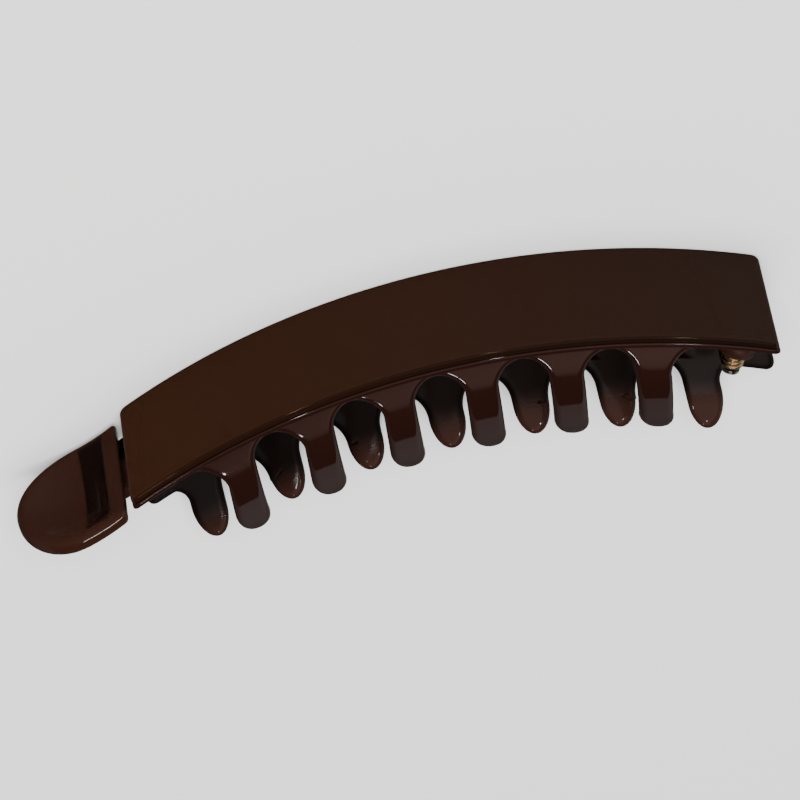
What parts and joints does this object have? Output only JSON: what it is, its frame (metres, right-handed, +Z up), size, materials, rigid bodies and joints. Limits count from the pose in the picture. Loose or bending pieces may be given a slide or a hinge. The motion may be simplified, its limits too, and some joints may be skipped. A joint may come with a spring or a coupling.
{
  "type": "banana hair clip",
  "caption": "Arched banana hair clip with a smooth cover plate, two curved combs of blunt teeth that meet, a sprung hinge at one end and a scooped thumb lever at the other.",
  "frame": {"origin": "middle of the base of the clip's box, on the surface that the closed clip lies on with its rear side down", "axes": "+X from the thumb lever to the hinge, +Y from the teeth to the cover plate's face, +Z up from the rear jaw to the front jaw"},
  "size_m": [0.1366, 0.0396, 0.0249],
  "materials": {
    "plate_brown": "polished dark chocolate brown",
    "jaw_brown": "polished dark burgundy brown",
    "pin_steel": "plain drawn",
    "spring_gold": "bright gold"
  },
  "bodies": {
    "rear": {"rear_jaw": "jaw_brown", "torsion_spring": "spring_gold"},
    "cover": {"top_plate": "plate_brown", "front_jaw": "jaw_brown", "hinge_pin": "pin_steel"}
  },
  "joints": [
    {"name": "cover_swing", "type": "hinge", "parent": "rear", "child": "cover", "pos_m": [0.06475, 0.00778, 0.01545], "axis": [0.4252, 0.9051, 0], "range_deg": [0, 22], "stiffness_Nm_per_rad": 0.03, "springref_deg": -17.19}
  ]
}
